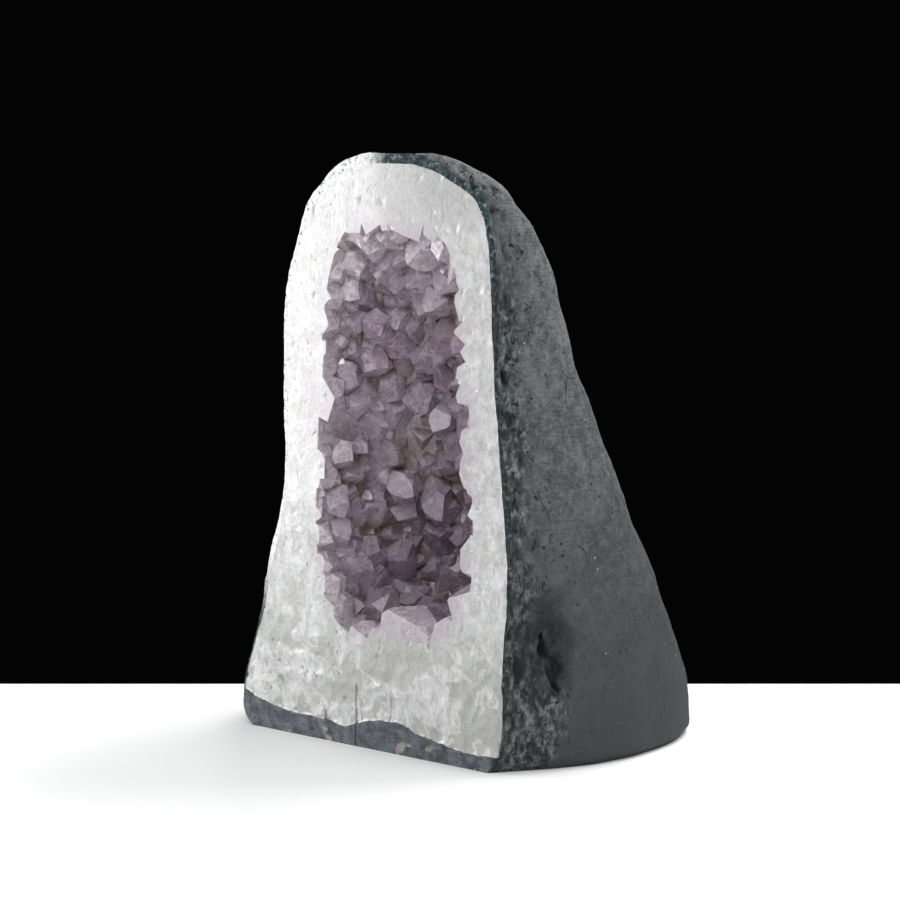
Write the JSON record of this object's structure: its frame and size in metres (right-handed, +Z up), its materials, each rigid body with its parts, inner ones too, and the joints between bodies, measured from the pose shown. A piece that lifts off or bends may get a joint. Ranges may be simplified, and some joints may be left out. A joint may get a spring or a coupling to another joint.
{
  "type": "amethyst dome geode",
  "caption": "Tall dome of half a geode, sawn flat in front and under the foot, with a dark stone coat, a white quartz layer and a deep hollow lined with amethyst points.",
  "frame": {"origin": "under the middle of the bounding box, on the plane of the sawn foot", "axes": "+Z up, the sawn face and its hollow look along -Y, +X to the right of someone who looks into the hollow"},
  "size_m": [0.309, 0.2514, 0.4045],
  "materials": {
    "rind": "matt slate-grey stone coat, pitted beside the sawn face, with fine trowel marks",
    "quartz_layer": "sawn white quartz, smooth, half gloss",
    "amethyst_crust": "glossy pale lilac crystal, partly see-through, iron-stained between the points"
  },
  "bodies": {
    "root": {"rind": "rind", "quartz_layer": "quartz_layer", "amethyst_crust": "amethyst_crust"}
  },
  "joints": []
}
